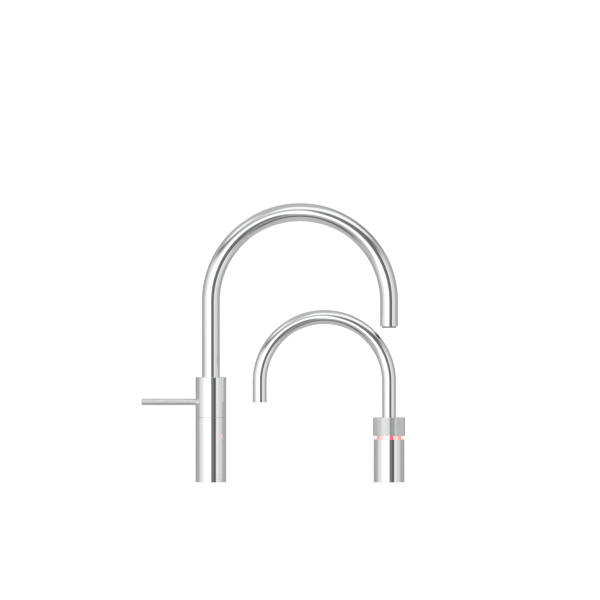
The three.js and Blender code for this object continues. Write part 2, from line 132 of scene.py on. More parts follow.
def metal(name, base, light, dark, rough, rough_var, grain, grain_scale, depth, stretch=(1, 1, 1)):
    """A metal whose tone and gloss vary a little, with a fine grain in relief."""
    m, nt, b = new_material(name)
    b.inputs["Metallic"].default_value = 1.0
    broad = noise(nt, coords(nt), 38.0, 4)
    fine = noise(nt, coords(nt, stretch), grain_scale, grain)
    nt.links.new(ramp(nt, broad, [(0.3, dark), (0.5, base), (0.7, light)]), b.inputs["Base Color"])
    nt.links.new(remap(nt, broad, 0.3, 0.7, rough - rough_var, rough + rough_var), b.inputs["Roughness"])
    bump(nt, b, fine, 0.5, depth)
    return m


def plastic(name, base, dark, rough, grain_scale, depth, coat=0.0):
    m, nt, b = new_material(name)
    broad = noise(nt, coords(nt), 55.0, 5)
    fine = noise(nt, coords(nt), grain_scale, 2)
    nt.links.new(ramp(nt, broad, [(0.3, dark), (0.7, base)]), b.inputs["Base Color"])
    nt.links.new(remap(nt, fine, 0.3, 0.7, rough - 0.07, rough + 0.07), b.inputs["Roughness"])
    b.inputs["Coat Weight"].default_value = coat
    bump(nt, b, fine, 0.6, depth)
    return m


# Polished chrome plate: nearly a mirror, with faint haze patches and the wave that polishing leaves.
def polished(name, rough):
    m, nt, b = new_material(name)
    b.inputs["Metallic"].default_value = 1.0
    haze = noise(nt, coords(nt), 26.0, 5, 0.6)
    nt.links.new(ramp(nt, haze, [(0.35, (0.905, 0.915, 0.915)), (0.65, (0.935, 0.94, 0.94))]), b.inputs["Base Color"])
    nt.links.new(remap(nt, haze, 0.3, 0.75, rough * 0.7, rough * 1.6), b.inputs["Roughness"])
    wave = noise(nt, coords(nt, (1, 1, 0.45)), 70.0, 1)
    bump(nt, b, wave, 0.10, 0.00002)
    return m


CHROME = polished("polished_chrome", 0.028)
KNURL = polished("knurled_chrome", 0.06)
SATIN = polished("satin_chrome", 0.38)
BRASS = metal("machined_brass", (0.71, 0.52, 0.25), (0.80, 0.61, 0.32), (0.60, 0.42, 0.19), 0.27, 0.06, 2, 900, 0.00003, (1, 1, 14))
STEEL = metal("machined_steel", (0.60, 0.60, 0.60), (0.68, 0.68, 0.67), (0.50, 0.50, 0.51), 0.30, 0.07, 2, 1100, 0.00002, (1, 1, 12))
ZINC = metal("zinc_plated_steel", (0.58, 0.59, 0.60), (0.70, 0.70, 0.66), (0.46, 0.48, 0.52), 0.34, 0.08, 5, 260, 0.00002)
RUBBER = plastic("black_rubber", (0.018, 0.018, 0.019), (0.010, 0.010, 0.011), 0.72, 900, 0.00006)
POM = plastic("white_moulded_plastic", (0.80, 0.78, 0.73), (0.72, 0.70, 0.65), 0.42, 1500, 0.00002)
GREY_POM = plastic("grey_moulded_plastic", (0.36, 0.36, 0.36), (0.31, 0.31, 0.31), 0.46, 1500, 0.00002)
DARK_POM = plastic("dark_moulded_plastic", (0.045, 0.048, 0.052), (0.030, 0.032, 0.035), 0.45, 1500, 0.00002)
PTFE = plastic("fluoropolymer", (0.88, 0.88, 0.86), (0.80, 0.80, 0.78), 0.30, 600, 0.00001, 0.2)
CERAMIC = plastic("lapped_ceramic", (0.86, 0.84, 0.79), (0.80, 0.78, 0.74), 0.16, 2500, 0.000004, 0.5)
FERRITE = plastic("bonded_ferrite", (0.035, 0.034, 0.034), (0.020, 0.020, 0.020), 0.55, 2200, 0.00003)


def board_material():
    """Solder mask over copper tracks."""
    m, nt, b = new_material("circuit_board")
    v = nt.nodes.new("ShaderNodeTexVoronoi")
    v.distance = "MANHATTAN"
    v.feature = "DISTANCE_TO_EDGE"
    v.inputs["Scale"].default_value = 520.0
    nt.links.new(coords(nt), v.inputs["Vector"])
    nt.links.new(ramp(nt, v.outputs["Distance"], [(0.04, (0.020, 0.145, 0.060)), (0.10, (0.008, 0.070, 0.030))]), b.inputs["Base Color"])
    b.inputs["Roughness"].default_value = 0.32
    b.inputs["Coat Weight"].default_value = 0.6
    bump(nt, b, v.outputs["Distance"], 0.4, 0.00003)
    return m


BOARD = board_material()


# The light ring: a half-mirrored band lit red from inside, brighter over each of its six lamps.
def ring_material():
    m, nt, b = new_material("lit_ring")
    b.inputs["Metallic"].default_value = 1.0
    b.inputs["Base Color"].default_value = (0.97, 0.93, 0.93, 1)
    fine = noise(nt, coords(nt), 160.0, 3)
    nt.links.new(remap(nt, fine, 0.3, 0.7, 0.045, 0.09), b.inputs["Roughness"])
    g = nt.nodes.new("ShaderNodeTexGradient")
    g.gradient_type = "RADIAL"
    nt.links.new(coords(nt), g.inputs["Vector"])
    turns = nt.nodes.new("ShaderNodeMath")
    turns.operation = "MULTIPLY"
    turns.inputs[1].default_value = 6 * 2 * math.pi
    nt.links.new(g.outputs["Fac"], turns.inputs[0])
    c = nt.nodes.new("ShaderNodeMath")
    c.operation = "COSINE"
    nt.links.new(turns.outputs[0], c.inputs[0])
    b.inputs["Emission Color"].default_value = (1.0, 0.012, 0.010, 1)
    nt.links.new(remap(nt, c.outputs[0], -1, 1, 0.92, 1.12), b.inputs["Emission Strength"])
    return m


LIT = ring_material()


# ------------------------------------------------------------------ mesh building, in mm
def finish_piece(name, bm, material, body, nodes, x0=0.0, sharp=38.0, weighted=True):
    """bm is in mm about its tap's axis; it becomes a piece that rides on body and stands for nodes."""
    me = bpy.data.meshes.new(name)
    bmesh.ops.recalc_face_normals(bm, faces=bm.faces)
    bmesh.ops.transform(bm, matrix=Matrix.Scale(MM, 4) @ Matrix.Translation((x0, 0, 0)), verts=bm.verts)
    bm.to_mesh(me)
    bm.free()
    o = bpy.data.objects.new(name, me)
    bpy.context.scene.collection.objects.link(o)
    for p in me.polygons:
        p.use_smooth = True
    me.set_sharp_from_angle(angle=math.radians(sharp))
    me.materials.append(material)
    if weighted:
        w = o.modifiers.new("normals", "WEIGHTED_NORMAL")
        w.keep_sharp = True
        w.weight = 50
    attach(o, body)
    if nodes:
        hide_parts(*nodes)
    return o


def rounded(points, radii, steps=5):
    """The closed profile with its corners rounded. radii has one radius for each point, 0 for a sharp one."""
    out = []
    n = len(points)
    for i, (p, r) in enumerate(zip(points, radii)):
        if r <= 0:
            out.append(p)
            continue
        a, b = Vector(points[i - 1]), Vector(points[(i + 1) % n])
        c = Vector(p)
        u, v = (a - c).normalized(), (b - c).normalized()
        half = math.acos(max(-1, min(1, u.dot(v)))) / 2
        d = min(r / math.tan(half), (a - c).length * 0.49, (b - c).length * 0.49)
        rr = d * math.tan(half)
        m = c + (u + v).normalized() * (rr / math.sin(half))
        s, e = c + u * d - m, c + v * d - m
        ang = math.atan2(s.x * e.y - s.y * e.x, s.dot(e))
        for k in range(steps + 1):
            t = ang * k / steps
            q = Vector((s.x * math.cos(t) - s.y * math.sin(t), s.x * math.sin(t) + s.y * math.cos(t))) + m
            out.append((q.x, q.y))
    return out


def lathe(profile, sides=256, closed=True):
    """Turns a profile of (radius, height) about Z. Long straight runs get cross loops, so quads stay even."""
    pts = []
    n = len(profile)
    for i in range(n if closed else n - 1):
        a, b = profile[i], profile[(i + 1) % n]
        pts.append(a)
        cuts = int(math.hypot(b[0] - a[0], b[1] - a[1]) // 6.0)
        for k in range(1, cuts + 1):
            t = k / (cuts + 1)
            pts.append((a[0] + (b[0] - a[0]) * t, a[1] + (b[1] - a[1]) * t))
    if not closed:
        pts.append(profile[-1])
    bm = bmesh.new()
    rows = []
    for r, z in pts:
        if r < 1e-6:
            rows.append([bm.verts.new((0, 0, z))])
        else:
            rows.append([bm.verts.new((r * math.cos(2 * math.pi * k / sides), r * math.sin(2 * math.pi * k / sides), z)) for k in range(sides)])
    m = len(rows)
    for i in range(m if closed else m - 1):
        p, q = rows[i], rows[(i + 1) % m]
        if len(p) == 1 and len(q) == 1:
            continue
        for k in range(sides):
            k2 = (k + 1) % sides
            quad = [p[k % len(p)], p[k2 % len(p)], q[k2 % len(q)], q[k % len(q)]]
            face = [v for j, v in enumerate(quad) if v not in quad[:j]]
            if len(face) > 2:
                bm.faces.new(face)
    return bm


def neck(z0, bend, z1, side, lip=0.35, around=96, along=300):
    """A swan neck tube with rounded lips: straight up, half a circle, straight down."""
    r, bore, bend_z, bend_r = bend
    stations = []  # (centre x, centre z, tilt angle, radius)
    straight = 12
    for k in range(straight):
        stations.append((0.0, z0 + (bend_z - z0) * k / straight, 0.0))
    for k in range(along + 1):
        a = math.pi * k / along
        stations.append((side * bend_r * (1 - math.cos(a)), bend_z + bend_r * math.sin(a), a))
    for k in range(1, straight + 1):
        stations.append((side * 2 * bend_r, bend_z + (z1 - bend_z) * k / straight, math.pi))
    rings = []

    def ring(cx, cz, a, rad):
        # the ring's plane holds the bend's radial direction and +Y
        ux, uz = math.cos(a), side * math.sin(a)
        return [(cx + rad * math.cos(t) * ux, rad * math.sin(t), cz - rad * math.cos(t) * uz * 1.0) for t in (2 * math.pi * j / around for j in range(around))]

    def end(cx, cz, a, out, order):
        # a quarter round on the outer edge of an end; out is the way out of the tube
        pts = []
        for k in range(1, 5):
            t = math.pi / 2 * k / 5
            pts.append((cx, cz + out * (-lip + lip * math.sin(t)), a, r - lip + lip * math.cos(t)))
        return pts if order > 0 else pts[::-1]

    first, last = stations[0], stations[-1]
    outer = [(first[0], first[1] + lip, 0.0, r)] + [(x, z, a, r) for x, z, a in stations[1:-1]] + [(last[0], last[1] + lip, math.pi, r)]
    tail = [(last[0], last[1] + lip - lip * math.sin(math.pi / 2 * k / 5), math.pi, r - lip + lip * math.cos(math.pi / 2 * k / 5)) for k in range(1, 6)]
    head = [(first[0], first[1] + lip - lip * math.sin(math.pi / 2 * k / 5), 0.0, r - lip + lip * math.cos(math.pi / 2 * k / 5)) for k in range(5, 0, -1)]
    inner = [(x, z, a, bore) for x, z, a in stations[::-1]]
    for cx, cz, a, rad in head + outer + tail + inner:
        rings.append(ring(cx, cz, a, rad))
    bm = bmesh.new()
    rows = [[bm.verts.new(p) for p in g] for g in rings]
    m = len(rows)
    for i in range(m):
        p, q = rows[i], rows[(i + 1) % m]
        for j in range(around):
            bm.faces.new((p[j], p[(j + 1) % around], q[(j + 1) % around], q[j]))
    return bm


def cut(obj, cutter_bm, operation="DIFFERENCE"):
    """Cuts a closed mesh, given in the object's own metres, out of a piece, or with UNION joins it on."""
    me = bpy.data.meshes.new("cutter")
    bmesh.ops.recalc_face_normals(cutter_bm, faces=cutter_bm.faces)
    cutter_bm.to_mesh(me)
    cutter_bm.free()
    tool = bpy.data.objects.new("cutter", me)
    bpy.context.scene.collection.objects.link(tool)
    mod = obj.modifiers.new("cut", "BOOLEAN")
    mod.operation = operation
    mod.solver = "EXACT"
    mod.object = tool
    deps = bpy.context.evaluated_depsgraph_get()
    made = bpy.data.meshes.new_from_object(obj.evaluated_get(deps))
    obj.modifiers.remove(mod)
    clean = bmesh.new()
    clean.from_mesh(made)
    bmesh.ops.dissolve_degenerate(clean, dist=1e-7, edges=clean.edges[:])
    clean.to_mesh(made)
    clean.free()
    old = obj.data
    name = old.name
    obj.data = made
    bpy.data.meshes.remove(old)
    made.name = name
    bpy.data.objects.remove(tool)
    bpy.data.meshes.remove(me)


def use(node, material, sharp=32.0):
    """A CAD node that stays, with its own material and smooth shading."""
    o = frame["nodes"][node]
    me = o.data
    me.materials.clear()
    me.materials.append(material)
    for p in me.polygons:
        p.use_smooth = True
    me.set_sharp_from_angle(angle=math.radians(sharp))


# ------------------------------------------------------------------ camera: level, straight on, from far away
PX = 1.283  # mm in a pixel of the photo, on the plane of the two axes
cam_data = bpy.data.cameras.new("camera")
cam = bpy.data.objects.new("camera", cam_data)
bpy.context.scene.collection.objects.link(cam)
DIST = 12.0
cam_data.sensor_width = 36.0
cam_data.lens = 36.0 * DIST / (600 * PX * MM)
cam_data.clip_start, cam_data.clip_end = 0.1, 100.0
cam.location = ((300 - 389.05) * PX * MM, -DIST, (482.25 - 300) * PX * MM)
cam.rotation_euler = (math.pi / 2, 0, 0)
bpy.context.scene.camera = cam

# ------------------------------------------------------------------ boiling water tap
# base shell
p = [(15.4, 1.9), (18.6, 1.9), (18.6, 0), (BASE_R, 0), (BASE_R, 55.08), (16.5, 55.08), (16.5, 52.58), (17.6, 52.58), (17.6, 3.0), (15.4, 3.0)]
finish_piece("boiling_base_shell_fine", lathe(rounded(p, [0, 0, 0, 0.35, 0.2, 0.15, 0, 0, 0, 0])), CHROME, "fixed", ["boiling_base_shell"])

# light ring, with the flange that the shell's lip holds down
p = [(15.0, 51.2), (17.2, 51.2), (17.2, 52.28), (16.2, 52.28), (16.2, 60.6), (15.0, 60.6)]
finish_piece("boiling_light_ring_fine", lathe(rounded(p, [0, 0.1, 0.1, 0, 0.3, 0])), LIT, "fixed", ["boiling_light_ring"])

# knob: diamond knurl between plain rims
KN_LO, KN_HI, KN_R = 59.34, 83.15, 20.85
KN_AROUND = 40  # diamonds around
KN_PITCH = 4.1  # a diamond's height
KN_DEPTH = 0.19
KN_HALF = 0.155  # half a groove's width, as a share of the spacing between grooves
KN_RIM = 0.40  # height of the plain rim at each end
KN_RIM_R = KN_R - 0.22


def knurl_band():
    """The knurled band: flat-topped diamonds between V grooves, cut off level at both ends."""
    bm = bmesh.new()
    marks = [0.0, KN_HALF, 0.5, 1.0 - KN_HALF, 1.0]
    mid, half = (KN_LO + KN_HI) / 2, (KN_HI - KN_LO) / 2 - KN_RIM
    reach = int(2 * half / KN_PITCH) + 3
    made = {}

    def groove(t):
        return max(0.0, 1.0 - abs(t - round(t)) / KN_HALF)

    def vert(p, q):
        u, v = (p + q) / 2, (p - q) / 2
        key = (round((u % KN_AROUND) * 10000) % (KN_AROUND * 10000), round(v * 10000))
        if key not in made:
            t = 2 * math.pi * u / KN_AROUND
            r = KN_R - KN_DEPTH * max(groove(p), groove(q))
            made[key] = bm.verts.new((r * math.cos(t), r * math.sin(t), mid + KN_PITCH * v))
        return made[key]

    for i in range(KN_AROUND):
        for j in range(i - reach, i + reach):
            for a in range(4):
                for b in range(4):
                    p0, p1, q0, q1 = i + marks[a], i + marks[a + 1], j + marks[b], j + marks[b + 1]
                    c = [vert(p0, q0), vert(p1, q0), vert(p1, q1), vert(p0, q1)]
                    if a in (0, 3) and b in (0, 3):
                        # where two grooves cross, the crease runs from the crossing to the diamond's corner
                        k = 0 if (a == 0) == (b == 0) else 1
                        bm.faces.new((c[k], c[k + 1], c[k + 2]))
                        bm.faces.new((c[k + 2], c[(k + 3) % 4], c[k]))
                    else:
                        bm.faces.new(c)
    for z, n in ((mid + half, 1), (mid - half, -1)):
        bmesh.ops.bisect_plane(bm, geom=bm.verts[:] + bm.edges[:] + bm.faces[:], dist=1e-5, plane_co=(0, 0, z), plane_no=(0, 0, n), clear_outer=True)
    bmesh.ops.remove_doubles(bm, verts=bm.verts[:], dist=1e-4)
    return bm, mid + half, mid - half


def zip_loops(bm, low, high):
    """Joins two loops about Z that have different numbers of vertices."""
    def angle(v):
        return math.atan2(v.co.y, v.co.x) % (2 * math.pi)

    low, high = sorted(low, key=angle), sorted(high, key=angle)
    a, b = [angle(v) for v in low], [angle(v) for v in high]
    i = j = 0
    while i < len(low) or j < len(high):
        na = a[i + 1] if i + 1 < len(low) else 2 * math.pi + a[(i + 1) % len(low)]
        nb = b[j + 1] if j + 1 < len(high) else 2 * math.pi + b[(j + 1) % len(high)]
        if j == len(high) or (i < len(low) and na <= nb):
            bm.faces.new((low[i % len(low)], low[(i + 1) % len(low)], high[j % len(high)]))
            i += 1
        else:
            bm.faces.new((low[i % len(low)], high[(j + 1) % len(high)], high[j % len(high)]))
            j += 1


def knob():
    bm, z_top, z_low = knurl_band()
    edge = {v for e in bm.edges if e.is_boundary for v in e.verts}
    tops = [v for v in edge if v.co.z > (z_top + z_low) / 2]
    lows = [v for v in edge if v.co.z <= (z_top + z_low) / 2]
    sides, b = 256, 0.32
    rows = []

    def row(r, z):
        rows.append([bm.verts.new((r * math.cos(2 * math.pi * k / sides), r * math.sin(2 * math.pi * k / sides), z)) for k in range(sides)])

    row(KN_RIM_R, z_top)
    for k in range(7):
        t = math.pi / 2 * k / 6
        row(KN_RIM_R - b + b * math.cos(t), KN_HI - b + b * math.sin(t))
    for r, z in [(18.0, KN_HI), (14.5, KN_HI), (11.0, KN_HI), (9.9, KN_HI), (9.72, KN_HI - 0.05), (9.62, KN_HI - 0.15), (9.6, KN_HI - 0.3), (9.6, 79.4), (14.0, 79.4), (17.6, 79.4), (17.6, 72.0),
                 (17.6, 65.75), (18.4, 65.75), (18.4, 64.1), (17.6, 64.1), (17.6, 61.5), (17.6, KN_LO + 0.2), (17.8, KN_LO), (19.2, KN_LO)]:
        row(r, z)
    for k in range(7):
        t = math.pi / 2 * k / 6
        row(KN_RIM_R - b + b * math.sin(t), KN_LO + b - b * math.cos(t))
    row(KN_RIM_R, z_low)
    for p, q in zip(rows, rows[1:]):
        for k in range(sides):
            bm.faces.new((p[k], p[(k + 1) % sides], q[(k + 1) % sides], q[k]))
    zip_loops(bm, tops, rows[0])
    zip_loops(bm, lows, rows[-1])
    return bm


finish_piece("boiling_knob_shell_knurled", knob(), KNURL, "boiling_knob", ["boiling_knob_shell"], sharp=24, weighted=False)

def return_spring(radius=13.85, wire=0.42, low=55.75, high=64.8, turns=5, around=12, steps=60):
    """The knob's return spring: round wire, with its ends wound flat."""
    bm = bmesh.new()

    def centre(t):
        a = 2 * math.pi * turns * t
        lead = min(1.0, max(0.0, (t * turns - 0.75) / (turns - 1.5)))
        return Vector((radius * math.cos(a), radius * math.sin(a), low + (high - low) * lead + 0.1 * t * turns))

    rows = []
    n = turns * steps
    for k in range(n + 1):
        t = k / n
        c = centre(t)
        ahead = (centre(min(1.0, t + 1e-4)) - centre(max(0.0, t - 1e-4))).normalized()
        out = Vector((c.x, c.y, 0)).normalized()
        up = ahead.cross(out).normalized()
        rows.append([bm.verts.new(c + wire * (math.cos(2 * math.pi * j / around) * out + math.sin(2 * math.pi * j / around) * up)) for j in range(around)])
    for p, q in zip(rows, rows[1:]):
        for j in range(around):
            bm.faces.new((p[j], p[(j + 1) % around], q[(j + 1) % around], q[j]))
    bm.faces.new(rows[0][::-1])
    bm.faces.new(rows[-1])
    return bm


spring = finish_piece("boiling_return_spring_wound", return_spring(), STEEL, "fixed", ["boiling_return_spring"], weighted=False)
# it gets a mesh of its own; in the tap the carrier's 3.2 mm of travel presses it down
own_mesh(spring)

# spout and outlet sleeve
finish_piece("boiling_spout_tube_fine", neck(44.3, B_BEND, 123.55, -1, lip=0.06), CHROME, "boiling_spout", ["boiling_spout_tube"])
p = [(7.3, 102.5), (9.05, 102.5), (9.05, 123.45), (7.55, 123.45), (7.55, 128.9), (6.4, 128.9), (6.4, 123.1), (7.3, 123.1)]
finish_piece("boiling_outlet_sleeve_fine", lathe(rounded(p, [0.3, 0.4, 0.06, 0, 0, 0, 0, 0]), 192), CHROME, "boiling_spout", ["boiling_outlet_sleeve"], x0=-166.0)

# ------------------------------------------------------------------ mixer tap
p = [(15.4, 1.9), (18.6, 1.9), (18.6, 0), (BASE_R, 0), (BASE_R, 83.0), (18.9, 83.0), (18.9, 82.0), (17.6, 82.0), (17.6, 3.0), (15.4, 3.0)]
finish_piece("mixer_base_shell_fine", lathe(rounded(p, [0, 0, 0, 0.35, 0.12, 0, 0, 0, 0, 0])), CHROME, "fixed", ["mixer_base_shell"], x0=MIX_X)

# turning shell with the lever's slot
p = [(17.6, 83.22), (BASE_R, 83.22), (BASE_R, 134.78), (11.95, 134.78), (11.95, 133.0), (17.6, 133.0)]
shell = finish_piece("mixer_handle_shell_fine", lathe(rounded(p, [0, 0.12, 0.5, 0.15, 0, 0]), 384), CHROME, "mixer_handle", ["mixer_handle_shell"], x0=MIX_X, weighted=False)


def slot_cutter(w, lo, hi, x_in, x_out):
    bm = bmesh.new()
    loop = []
    r = w / 2
    for k in range(33):
        t = math.pi * k / 32
        loop.append((r * math.cos(t), hi - r + r * math.sin(t)))
    for k in range(33):
        t = math.pi + math.pi * k / 32
        loop.append((r * math.cos(t), lo + r + r * math.sin(t)))
    near = [bm.verts.new(((MIX_X + x_in) * MM, y * MM, z * MM)) for y, z in loop]
    far = [bm.verts.new(((MIX_X + x_out) * MM, y * MM, z * MM)) for y, z in loop]
    n = len(loop)
    bm.faces.new(near)
    bm.faces.new(far[::-1])
    for i in range(n):
        bm.faces.new((near[i], far[i], far[(i + 1) % n], near[(i + 1) % n]))
    return bm


cut(shell, slot_cutter(9.4, 98.3, 117.0, -10, -25))
for poly in shell.data.polygons:
    poly.use_smooth = True
shell.data.set_sharp_from_angle(angle=math.radians(38))

# lever rod, turned about its own axis, with a small domed edge at the tip and a locating peg in the hub
def lying(bm, z):
    """Lays a lathed solid down along -X at height z."""
    bmesh.ops.rotate(bm, verts=bm.verts, cent=(0, 0, 0), matrix=Matrix.Rotation(-math.pi / 2, 3, "Y"))
    bmesh.ops.translate(bm, verts=bm.verts, vec=(0, 0, z))
    return bm


rod = lying(lathe(rounded([(0, 5.0), (4.3, 5.0), (4.3, 89.0), (0, 89.0)], [0, 0.2, 0.45, 0]), 128, closed=False), 103.0)
rod = finish_piece("mixer_lever_rod_fine", rod, SATIN, "mixer_lever", ["mixer_lever_rod"], x0=MIX_X, weighted=False)
peg = lying(lathe(rounded([(0, 3.2), (1.35, 3.2), (1.35, 5.5), (0, 5.5)], [0, 0.2, 0, 0]), 48, closed=False), 105.4)
bmesh.ops.transform(peg, matrix=Matrix.Scale(MM, 4) @ Matrix.Translation((MIX_X, 0, 0)), verts=peg.verts)
cut(rod, peg, "UNION")
for poly in rod.data.polygons:
    poly.use_smooth = True
rod.data.set_sharp_from_angle(angle=math.radians(38))
w = rod.modifiers.new("normals", "WEIGHTED_NORMAL")
w.keep_sharp = True
w.weight = 50

# spout, the aerator's housing with its grey rim, and the insert with its honeycomb
finish_piece("mixer_spout_tube_fine", neck(132.0, M_BEND, 200.0, 1, lip=0.22), CHROME, "mixer_spout", ["mixer_spout_tube"], x0=MIX_X)
p = [(8.2, 197.9), (9.2, 197.9), (9.2, 200.3), (9.9, 200.3), (9.9, 211.5), (8.9, 211.5), (8.9, 198.9), (8.2, 198.9)]
finish_piece("mixer_aerator_housing_fine", lathe(rounded(p, [0.15, 0.3, 0, 0.15, 0.3, 0.3, 0, 0.1]), 192), GREY_POM, "mixer_spout", ["mixer_aerator_housing"], x0=0.0)
p = [(0, 199.2), (8.6, 199.2), (8.6, 209.7), (7.6, 209.7), (7.6, 201.2), (0, 201.2)]
insert = finish_piece("mixer_aerator_insert_fine", lathe(rounded(p, [0, 0.15, 0.2, 0.2, 0, 0]), 128, closed=False), DARK_POM, "mixer_spout", ["mixer_aerator_insert"], x0=0.0, weighted=False)


def honeycomb(pitch, wall, reach, z0, z1):
    """Six-sided holes on a triangular grid, all inside radius reach, as cutters in metres."""
    bm = bmesh.new()
    r = (pitch - wall) / math.sqrt(3)
    n = int(reach / pitch) + 2
    for i in range(-n, n + 1):
        for j in range(-n, n + 1):
            cx, cy = pitch * (i + j / 2), pitch * j * math.sqrt(3) / 2
            if math.hypot(cx, cy) + r > reach:
                continue
            loop = [(cx + r * math.cos(math.pi / 6 + math.pi / 3 * k), cy + r * math.sin(math.pi / 6 + math.pi / 3 * k)) for k in range(6)]
            low = [bm.verts.new((x * MM, y * MM, z0 * MM)) for x, y in loop]
            top = [bm.verts.new((x * MM, y * MM, z1 * MM)) for x, y in loop]
            bm.faces.new(low[::-1])
            bm.faces.new(top)
            for k in range(6):
                bm.faces.new((low[k], low[(k + 1) % 6], top[(k + 1) % 6], top[k]))
    return bm


cut(insert, honeycomb(1.75, 0.32, 7.5, 198.0, 203.0))
insert.data.set_sharp_from_angle(angle=math.radians(38))

# ------------------------------------------------------------------ below the worktop: threaded shanks
def shank(name, body, node, x0):
    sides, pitch, depth = 96, 1.5, 0.62
    bm = bmesh.new()
    rows = []

    def row(r, z, thread=0.0):
        vs = []
        for k in range(sides):
            t = k / sides
            f = (z / pitch - t) % 1.0
            rr = r - thread * depth * abs(2 * f - 1)
            vs.append(bm.verts.new((rr * math.cos(2 * math.pi * t), rr * math.sin(2 * math.pi * t), z)))
        rows.append(vs)

    row(12.0, -58)
    row(14.2, -58)
    z = -57.6
    while z < -1.0:
        row(15.0 - 0.8 * max(0.0, min(1.0, (-56.8 - z) / 0.8)), z, 1.0 if z < -2 else -(z + 1.0))
        z += pitch / 6
    for r, z in [(15.0, -0.9), (15.0, 3.3), (17.2, 3.3), (17.2, 6.0), (12.0, 6.0)]:
        row(r, z)
    m = len(rows)
    for i in range(m):
        p, q = rows[i], rows[(i + 1) % m]
        for k in range(sides):
            bm.faces.new((p[k], p[(k + 1) % sides], q[(k + 1) % sides], q[k]))
    finish_piece(name, bm, BRASS, body, [node], x0=x0, sharp=45, weighted=False)


shank("boiling_shank_threaded", "fixed", "boiling_shank", 0.0)
shank("mixer_shank_threaded", "fixed", "mixer_shank", MIX_X)


def back_nut():
    """Six-sided, with chamfered corners below, a round flange above, and the start of the thread cut away at each end."""
    sides = 192
    rows = [(15.35, -45.8, False), (16.1, -46.6, False), (19.4, -46.6, False)]
    rows += [(19.6 + 0.2 * k, -46.6 + 0.2 * k, True) for k in range(1, 10)]
    rows += [(40.0, -44.4, True), (40.0, -40.0, True), (40.0, -37.75, True), (22.75, -37.6, False), (23.0, -37.35, False), (23.0, -35.85, False),
             (22.75, -35.6, False), (16.1, -35.6, False), (15.35, -36.4, False), (15.35, -41.0, False)]
    bm = bmesh.new()
    made = []
    for r, z, six in rows:
        vs = []
        for k in range(sides):
            t = 2 * math.pi * k / sides
            rr = r
            if six:
                off = (t + math.pi / 6) % (math.pi / 3) - math.pi / 6  # from the middle of a flat
                flat = 21.4 * math.cos(math.pi / 6) / math.cos(off)
                rr = min(r, flat - 0.12 * max(0.0, abs(off) / (math.pi / 6) - 0.9) * 10)
            vs.append(bm.verts.new((rr * math.cos(t), rr * math.sin(t), z)))
        made.append(vs)
    for p, q in zip(made, made[1:] + made[:1]):
        for k in range(sides):
            bm.faces.new((p[k], p[(k + 1) % sides], q[(k + 1) % sides], q[k]))
    return bm


def washer(r0, r1, z0, z1, edge, sides=192, y=0.0):
    bm = lathe(rounded([(r0, z0), (r1, z0), (r1, z1), (r0, z1)], [edge] * 4), sides)
    if y:
        bmesh.ops.translate(bm, verts=bm.verts, vec=(0, y, 0))
    return bm


for who, x in (("boiling", 0.0), ("mixer", MIX_X)):
    finish_piece(who + "_backnut_fine", back_nut(), BRASS, "fixed", [who + "_backnut"], x0=x, sharp=22, weighted=False)
    finish_piece(who + "_steel_washer_fine", washer(15.4, 25.0, -35.3, -33.3, 0.25), ZINC, "fixed", [who + "_steel_washer"], x0=x)
    finish_piece(who + "_rubber_washer_fine", washer(15.5, 25.0, -33.0, -30.0, 0.7), RUBBER, "fixed", [who + "_rubber_washer"], x0=x)
    finish_piece(who + "_base_gasket_fine", washer(16.2, 18.4, 0.0, 1.5, 0.4), RUBBER, "fixed", [who + "_base_gasket"], x0=x)
finish_piece("boiling_inlet_pipe_fine", washer(3.0, 4.0, -62.0, 27.4, 0.3, 96), STEEL, "fixed", ["boiling_inlet_pipe"])
for which, y in (("hot", 6.0), ("cold", -6.0)):
    finish_piece(f"mixer_{which}_inlet_tail_fine", washer(3.1, 4.5, -70.0, 22.5, 0.35, 96, y), STEEL, "fixed", [f"mixer_{which}_inlet_tail"], x0=MIX_X)


def drilled(spots, r, z0, z1, x0=0.0, sides=32):
    """Round holes at (x, y) spots in mm, as cutters in metres."""
    bm = bmesh.new()
    for cx, cy in spots:
        loop = [(x0 + cx + r * math.cos(2 * math.pi * k / sides), cy + r * math.sin(2 * math.pi * k / sides)) for k in range(sides)]
        low = [bm.verts.new((x * MM, y * MM, z0 * MM)) for x, y in loop]
        top = [bm.verts.new((x * MM, y * MM, z1 * MM)) for x, y in loop]
        bm.faces.new(low[::-1])
        bm.faces.new(top)
        for k in range(sides):
            bm.faces.new((low[k], low[(k + 1) % sides], top[(k + 1) % sides], top[k]))
    return bm


# the boiling outlet's spray plate, dished below, with its seven holes
p = [(0, 104.5), (5.4, 104.5), (6.1, 104.1), (7.0, 104.1), (7.0, 108.2), (0, 108.2)]
spray = finish_piece("boiling_spray_plate_fine", lathe(rounded(p, [0, 0.5, 0.3, 0.15, 0.15, 0]), 128, closed=False), STEEL, "boiling_spout", ["boiling_spray_plate"], x0=-166.0, weighted=False)
cut(spray, drilled([(0, 0)] + [(4.2 * math.cos(math.pi / 3 * k), 4.2 * math.sin(math.pi / 3 * k)) for k in range(6)], 1.0, 103.0, 110.0, x0=-166.0))
for poly in spray.data.polygons:
    poly.use_smooth = True
spray.data.set_sharp_from_angle(angle=math.radians(30))

